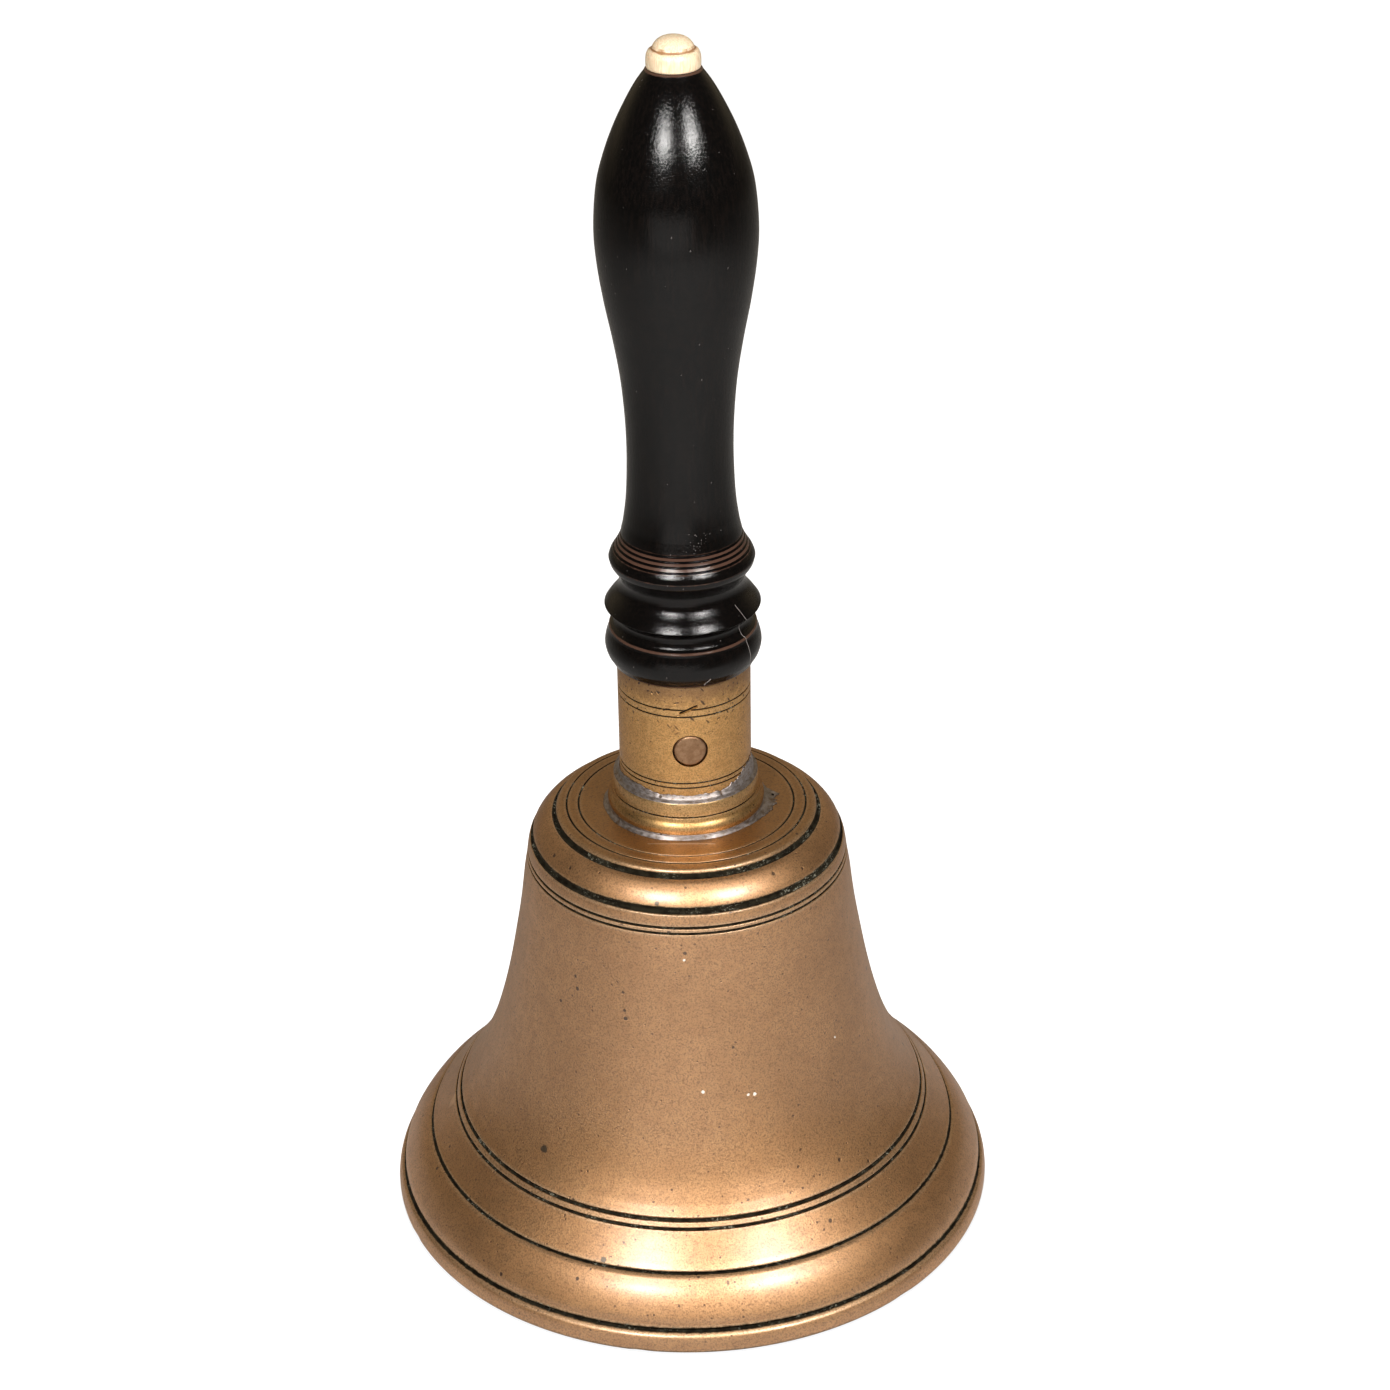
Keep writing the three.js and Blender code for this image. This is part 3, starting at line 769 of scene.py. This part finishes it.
def ferrule():
    outer = smooth([(FERRULE_R, z) for z in (108.6, 120, 130, 139, 146.6)], 0.6)
    outer = scribed(outer, [(120.1, 0.42, 0.24), (121.2, 0.42, 0.24), (139.0, 0.42, 0.24),
                            (140.8, 0.42, 0.26)])
    foot = rounded([(13.7, 108.0), (15.5, 108.0), (FERRULE_R, 108.6)], 0.2)
    top = rounded([(FERRULE_R, 146.6), (15.5, FERRULE_TOP_Z), (13.7, FERRULE_TOP_Z), (13.7, 108.0)], 0.25)

    def nicks(azimuth, r, z):
        out = np.zeros_like(r)
        for k in range(26):
            at = -10 + 52 * noise.noise((k * 1.7, 3.1, 0.2))
            height = 143.2 + 5.0 * noise.noise((k * 2.3, 9.7, 0.4))
            out -= 0.16 * bump_at(azimuth, at, 1.1) * bump_at(z, height, 0.35)
        return out * (r > 15), 0 * z

    piece = turned("ferrule_tube", joined(foot, outer, top)[:-1], 240, nicks)
    boolean(piece, pin_bore(), "DIFFERENCE")
    boolean(piece, slash(), "DIFFERENCE")
    material = brass("ferrule_brass", (0.70, 0.385, 0.125), (0.54, 0.28, 0.08), (141.5, 147.0))
    place(piece, "bell", "ferrule_brass", material, "ferrule")


def slash():
    """A thin wedge that cuts the slanting slash in the front of the ferrule."""
    start, end = (-8.7, 140.0), (6.7, 141.8)
    ridge, edge = [], []
    for azimuth, z in (start, end):
        a = math.radians(azimuth)
        direction = Vector((math.sin(a), -math.cos(a), 0))
        ridge.append(direction * (FERRULE_R - 0.6) + Vector((0, 0, z)))
        edge.append(direction * (FERRULE_R + 0.6) + Vector((0, 0, z)))
    up = Vector((0, 0, 0.75))
    corners = [ridge[0], edge[0] - up, edge[0] + up, ridge[1], edge[1] - up, edge[1] + up]
    faces = [(0, 2, 1), (3, 4, 5), (0, 1, 4, 3), (1, 2, 5, 4), (2, 0, 3, 5)]
    obj = add_mesh("slash", [c * MM for c in corners], faces, (("grime", [1] * 6), ("rub", [0] * 6)))
    bm = bmesh.new()
    bm.from_mesh(obj.data)
    bmesh.ops.recalc_face_normals(bm, faces=bm.faces)
    bm.to_mesh(obj.data)
    bm.free()
    return obj


def lower_seam():
    """A solder fillet round the collar's foot, with a smear dragged out over the crown on the right."""
    crown = CROWN_Z + 0.02

    def spread(azimuth, r, z):
        outer = np.clip((r - 18.9) / 0.7, 0, 1)
        wander = 0.22 * waves(azimuth, 9, 2) + 0.1 * waves(azimuth, 34, 3)
        smear = 2.4 * bump_at(azimuth, 80, 30) ** 2 * (1 + 0.3 * waves(azimuth, 90, 5))
        streak = 1.9 * bump_at(azimuth, 91, 4)
        left = 0.5 * bump_at(azimuth, -70, 45) - 0.3 * bump_at(azimuth, 0, 50)
        return outer * (wander + smear + streak + left), 0.12 * waves(azimuth, 12, 4) * outer * (z - crown)

    outer = smooth([(18.75, crown), (19.45, crown), (19.4, 107.84), (19.05, 108.25), (18.82, 108.6),
                    (18.75, 108.9)], 0.12)
    inner = [(18.6, 108.9), (18.45, 108.6), (18.55, crown)]
    piece = turned("lower_solder", joined(outer, inner), 360, spread)
    place(piece, "bell", "solder", MATERIAL["solder"], "lower_solder_seam")


def upper_seam():
    """A solder fillet on top of the collar, with a torn film that climbs the ferrule on the right."""
    low = 116.45

    def climb(azimuth, r, z):
        top = np.clip((z - 117.2) / 0.5, 0, 1)
        wander = 0.35 * waves(azimuth, 9, 6) + 0.2 * waves(azimuth, 34, 7)
        torn = 3.4 * bump_at(azimuth, 68, 24) * (1 + 0.4 * waves(azimuth, 60, 8))
        left = 1.0 * bump_at(azimuth, -60, 30)
        return 0.05 * waves(azimuth, 20, 9) * (r > 15.9), top * (wander + torn + left)

    outer = smooth([(FERRULE_R + 0.05, low), (17.15, low), (17.1, 116.62), (16.5, 117.05), (16.05, 117.5),
                    (15.86, 117.75), (FERRULE_R + 0.05, 117.8)], 0.12)
    piece = turned("upper_solder", outer[:-1] + [(FERRULE_R + 0.02, 117.78)], 360, climb)
    place(piece, "bell", "solder", MATERIAL["solder"], "upper_solder_seam")


def cross_pin():
    """A pin filed flush with the ferrule at both ends, its rim slightly burred."""
    rings = 14
    section = [(PIN_R * k / rings, -1.0) for k in range(rings)] + [(PIN_R, -0.96), (PIN_R, 0.96)]
    section += [(PIN_R * k / rings, 1.0) for k in range(rings - 1, -1, -1)]
    piece = turned("pin", section, 72)
    for v in piece.data.vertices:
        x, y, end = v.co.x / MM, v.co.y / MM, v.co.z / MM
        flush = math.sqrt(FERRULE_R ** 2 - x * x) + 0.03 - 0.25 * (math.hypot(x, y) / PIN_R) ** 12
        burr = 1 + 0.02 * noise.noise((math.atan2(y, x) * 1.5, end, 4.0))
        v.co = Vector((x * burr, y * burr, end * flush)) * MM
    along_y(piece, PIN_Z)
    place(piece, "bell", "pin_copper", pin_copper(), "cross_pin")


# ---------------------------------------------------------------- handle and finial

def handle():
    tenon_r = FERRULE_R - 2 - GAP
    tenon = rounded([(0, HANDLE_LOW_Z), (tenon_r - 0.6, HANDLE_LOW_Z), (tenon_r, HANDLE_LOW_Z + 0.6),
                     (tenon_r, 147.15), (16.6, 147.15), (17.0, 148.0)], 0.3)
    low_bead = smooth([(17.0, 148.0), (17.8, 149.3), (18.25, 150.9), (18.3, 152.1), (17.95, 153.8),
                       (17.4, 155.4)], 0.3)
    worn_edge = rounded([(17.4, 155.4), (17.3, 156.2), (16.3, 156.7), (15.7, 157.8)], 0.25)
    cove = smooth([(15.7, 157.8), (15.55, 158.9), (16.1, 160.1), (17.6, 161.2)], 0.3)
    arris = rounded([(17.6, 161.2), (18.25, 161.6), (17.7, 162.4)], 0.15)
    middle_bead = smooth([(17.7, 162.4), (17.05, 163.3), (15.9, 164.7), (15.0, 166.1), (14.6, 167.6),
                          (14.75, 168.9), (15.5, 170.5), (16.55, 172.1), (16.95, 173.5)], 0.3)
    top_bead = smooth([(16.95, 173.5), (16.5, 174.7), (15.7, 176.0), (14.9, 177.4), (14.2, 179.0),
                       (13.8, 180.6), (13.4, 182.4)], 0.3)
    top_bead = scribed(top_bead, [(z, 0.55, 0.35) for z in (176.0, 177.1, 178.2, 179.3)])
    neck = smooth([(13.4, 182.4), (12.7, 187.4), (12.3, 193.5), (12.15, 201), (12.4, 208.8), (13.2, 218),
                   (14.65, 227.2), (16.4, 236.4), (17.7, 245.5), (18.1, 253.2), (17.35, 262.4), (15.7, 269),
                   (13.3, 275.5), (10.4, 281.5), (8.2, 285.3), (6.5, 287.6)], 1.2)
    socket = rounded([(6.5, 287.6), (6.15, HANDLE_TOP_Z), (3.0, HANDLE_TOP_Z), (3.0, 278.3),
                      (0, 278.3)], 0.25)
    outline = joined(tenon, low_bead, worn_edge, cove, arris, middle_bead, top_bead, neck, socket)
    piece = turned("handle_turning", outline, 160)
    boolean(piece, pin_bore(), "DIFFERENCE")
    place(piece, "bell", "ebonised_wood", ebonised_wood(), "handle")


def finial():
    seat = HANDLE_TOP_Z + 0.05
    peg = rounded([(0, 278.6), (2.7, 278.6), (2.7, seat), (5.75, seat), (5.95, seat + 0.4)], 0.25)
    band = smooth([(5.95, seat + 0.4), (5.98, 289.9), (5.85, 291.2), (5.45, 292.1)], 0.2)
    groove = rounded([(5.45, 292.1), (5.0, 292.4), (4.65, 292.45), (4.6, 292.75), (4.4, 293.2)], 0.12)
    dome = smooth([(4.4, 293.2), (3.7, 294.1), (2.6, 294.8), (1.3, 295.12), (0, TOP_Z)], 0.2)
    piece = turned("finial_button", joined(peg, band, soiled(groove, 0.45), dome), 96)
    place(piece, "bell", "bone", bone(), "finial")


# ---------------------------------------------------------------- staple, link and clapper

def staple():
    """The eye bolt: a threaded shank with a shoulder, and a forged loop under it."""
    shoulder_top, thread_low, thread_high, pitch = 101.4, 106.0, 119.0, 1.25
    major, minor = 4.0, 3.5
    thread = []
    z = thread_low
    while z < thread_high - pitch:
        thread += [(major, z), (major, z + 0.25 * pitch), (minor, z + 0.55 * pitch), (minor, z + 0.7 * pitch)]
        z += pitch
    shoulder = rounded([(0, 96.4), (7.5, 96.4), (9, 97.9), (9, shoulder_top), (major, shoulder_top),
                        (major, thread_low)], 0.5)
    end = rounded([(major, z), (major, thread_high), (minor, thread_high + 0.5), (0, thread_high + 0.5)], 0.3)
    bolt = turned("staple", joined(shoulder, thread, end), 64)
    half, bend, wire = 6.4, 3.6, 2.5
    x, low, high = half - bend, STAPLE_Z + bend, shoulder_top - wire - bend
    path = (arc((x, low), bend, -0.5, 0, 12) + arc((x, high), bend, 0, 0.5, 12)
            + arc((-x, high), bend, 0.5, 1, 12) + arc((-x, low), bend, 1, 1.5, 12))
    boolean(bolt, wire_loop("loop", evenly(path, 120), wire, "x"), "UNION")
    forged(bolt, 0.28, 4, 0.12, 4)
    place(bolt, "bell", "forged_iron", MATERIAL["forged_iron"], "eye_bolt")


def link():
    """A forged link with a round top end about the staple's bar, and a straight lower bar."""
    half, bend = 4.85, 2.4
    y, low = half - bend, LINK_Z + bend
    path = (arc((0, STAPLE_Z), half, 0, 1, 36) + arc((-y, low), bend, 1, 1.5, 12)
            + arc((y, low), bend, 1.5, 2, 12))
    piece = wire_loop("link", evenly(path, 150), 2.0, "y", 32)
    roughen(piece, 0.05, 3)
    place(piece, "link", "forged_iron", MATERIAL["forged_iron"], "suspension_link")


def clapper_rod():
    """A forged rod with a flattened eye on the link, a shoulder on the ball and an end through the ball."""
    rod = rounded([(0, 2.2), (2.2, 2.2), (2.6, 2.7), (2.6, 30.5), (4.4, 30.5), (4.4, 32.3), (3.2, 34.2),
                   (2.9, 52), (3.2, 70), (3.2, 75.5), (0, 75.5)], 0.6, 6)
    piece = turned("clapper", joined(rod), 48)
    boolean(piece, along_y(disc("eye", 5.2, 2.0, 64, 0.7), LINK_Z), "UNION")
    boolean(piece, along_y(disc("bore", 2.4, 4.0, 48), LINK_Z), "DIFFERENCE")
    forged(piece, 0.25, 3, 0.1, 4)
    place(piece, "clapper", "forged_iron", MATERIAL["forged_iron"], "clapper_rod")


def clapper_ball():
    """An iron ball with a casting groove round its middle and its two striking sides flattened a little."""
    edge = math.acos(BORE_R / BALL_R)
    section = arc((0, BALL_Z), BALL_R, -edge / math.pi, edge / math.pi, 90)

    def struck(azimuth, r, z):
        x = np.abs(r * np.sin(np.radians(azimuth)))
        flat = np.clip(x - (BALL_R - 0.35), 0, 1) * 0.6
        return -flat - 0.12 * bump_at(z, BALL_Z, 0.35) * (r > 10), 0 * z

    piece = turned("ball", section, 128, struck)
    place(piece, "clapper", "clapper_iron", iron("clapper_iron", 0.55), "clapper_ball")


def hex_nut():
    """The nut under the ball, with the corners of its faces turned off."""
    low, high = span("clapper_nut")
    flats = 10.0  # across the flats
    reach = flats / math.sqrt(3)
    corners = [(reach * math.cos(k * math.pi / 3), reach * math.sin(k * math.pi / 3)) for k in range(6)]
    vertices = [(x, y, z) for z in (low.z, high.z) for x, y in corners]
    faces = [tuple(range(5, -1, -1)), tuple(range(6, 12))]
    faces += [(k, (k + 1) % 6, (k + 1) % 6 + 6, k + 6) for k in range(6)]
    piece = add_mesh("nut", np.array(vertices) * MM, faces)
    blank = turned("blank", [(BORE_R, low.z - 0.01), (5.0, low.z - 0.01), (5.9, low.z + 0.5),
                             (5.9, high.z - 0.5), (5.0, high.z + 0.01), (BORE_R, high.z + 0.01)], 96)
    boolean(piece, blank, "INTERSECT")
    piece.data.set_sharp_from_angle(angle=math.radians(25))
    place(piece, "clapper", "plain_steel", MATERIAL["plain_steel"], "clapper_nut")


MATERIAL = {"solder": solder(), "forged_iron": iron("forged_iron"), "plain_steel": steel()}
for build in (bell, collar, ferrule, lower_seam, upper_seam, cross_pin, handle, finial,
              staple, link, clapper_rod, clapper_ball, hex_nut):
    build()
for node in ("crown_washer", "socket_washer", "socket_nut"):
    kept = frame["nodes"][node]
    for material_slot in kept.material_slots:
        material_slot.material = MATERIAL["plain_steel"]


# ---------------------------------------------------------------- camera, light and floor

def camera():
    """The photograph's view: from the front, 29 degrees above the level."""
    data = bpy.data.cameras.new("camera")
    data.lens = 78.89
    data.sensor_width = 36
    obj = bpy.data.objects.new("camera", data)
    bpy.context.scene.collection.objects.link(obj)
    # Fitted to the bell's rings in the photograph, in metres and radians
    distance, height, azimuth = 0.6313, 0.4815, math.radians(-4.3)
    pitch, pan, roll = math.radians(28.67), 0.0040, -0.0154
    obj.location = (distance * math.sin(azimuth), -distance * math.cos(azimuth), height)
    turn = (Matrix.Rotation(azimuth - pan, 4, "Z") @ Matrix.Rotation(math.pi / 2 - pitch, 4, "X")
            @ Matrix.Rotation(roll, 4, "Z"))
    obj.rotation_euler = turn.to_euler()
    bpy.context.scene.camera = obj


def area_light(name, azimuth, distance, height, aim_z, size, power):
    """A lamp aimed at the axis, in metres and watts."""
    data = bpy.data.lights.new(name, "AREA")
    data.shape = "RECTANGLE"
    data.size, data.size_y = size
    data.energy = power
    data.color = LAMP_COLOUR
    obj = bpy.data.objects.new(name, data)
    bpy.context.scene.collection.objects.link(obj)
    a = math.radians(azimuth)
    obj.location = (distance * math.sin(a), -distance * math.cos(a), height)
    aim = Vector((0, 0, aim_z)) - obj.location
    obj.rotation_euler = aim.to_track_quat("-Z", "Y").to_euler()


def world():
    """A room that is pale to the camera. As a light it is dim, and brighter and browner behind the bell."""
    made = bpy.data.worlds.new("studio")
    made.use_nodes = True
    tree = made.node_tree
    background = tree.nodes["Background"]
    path = tree.nodes.new("ShaderNodeLightPath")
    direction = tree.nodes.new("ShaderNodeSeparateXYZ")
    tree.links.new(tree.nodes.new("ShaderNodeTexCoord").outputs["Generated"], direction.inputs[0])
    behind = tree.nodes.new("ShaderNodeMapRange")
    behind.interpolation_type = "SMOOTHSTEP"
    behind.inputs["From Min"].default_value = 0.1
    behind.inputs["From Max"].default_value = 0.8
    tree.links.new(direction.outputs["Y"], behind.inputs["Value"])

    def mix(factor, a, b):
        made = tree.nodes.new("ShaderNodeMix")
        made.data_type = "RGBA"
        for index, value in ((6, a), (7, b)):
            if isinstance(value, tuple):
                made.inputs[index].default_value = (*value, 1)
            else:
                tree.links.new(value, made.inputs[index])
        tree.links.new(factor, made.inputs[0])
        return made.outputs[2]

    front, back, seen = (0.075, 0.066, 0.055), (0.34, 0.27, 0.175), (0.96, 0.96, 0.96)
    room = mix(behind.outputs["Result"], front, back)
    tree.links.new(mix(path.outputs["Is Camera Ray"], room, seen), background.inputs["Color"])
    bpy.context.scene.world = made


def floor():
    """A large pale sheet, seen from above only, with a hole under the bell's mouth for views from below.

    It glows towards the camera only, so that the background is white and the glow lights nothing.
    """
    segments, radii, drop = 180, (MOUTH_R + 0.3, 400.0, 12000.0), 0.02
    pale, glow = (0.62, 0.62, 0.62, 1), 0.95
    turns = [2 * math.pi * k / segments for k in range(segments)]
    vertices = [(r * math.cos(a), r * math.sin(a), -drop) for r in radii for a in turns]
    faces = []
    for row in (0, segments):
        for k in range(segments):
            after = (k + 1) % segments
            faces.append((row + k, row + segments + k, row + segments + after, row + after))
    obj = add_mesh("floor", np.array(vertices) * MM, faces)
    s = Shader("floor")
    seen = s.node("ShaderNodeLightPath").outputs["Is Camera Ray"]
    material = s.done(pale, 0.7, 0.0)
    s.surface.inputs["Emission Color"].default_value = (1, 1, 1, 1)
    s.link(s.math("MULTIPLY", seen, glow), s.surface.inputs["Emission Strength"])
    see_through = s.node("ShaderNodeBsdfTransparent")
    choose = s.node("ShaderNodeMixShader")
    s.link(s.node("ShaderNodeNewGeometry").outputs["Backfacing"], choose.inputs[0])
    s.link(s.surface.outputs[0], choose.inputs[1])
    s.link(see_through.outputs[0], choose.inputs[2])
    s.link(choose.outputs[0], s.tree.nodes["Material Output"].inputs["Surface"])
    obj.data.materials.append(material)


camera()
world()
floor()
area_light("left_lamp", -25, 0.64, 0.62, 0.12, (0.12, 0.10), 5.2)
area_light("right_lamp", 30, 0.64, 0.62, 0.12, (0.12, 0.10), 5.2)
area_light("front_panel", -12, 0.85, 0.02, 0.06, (0.90, 0.30), 0.80)
bpy.context.scene.view_settings.view_transform = "Standard"
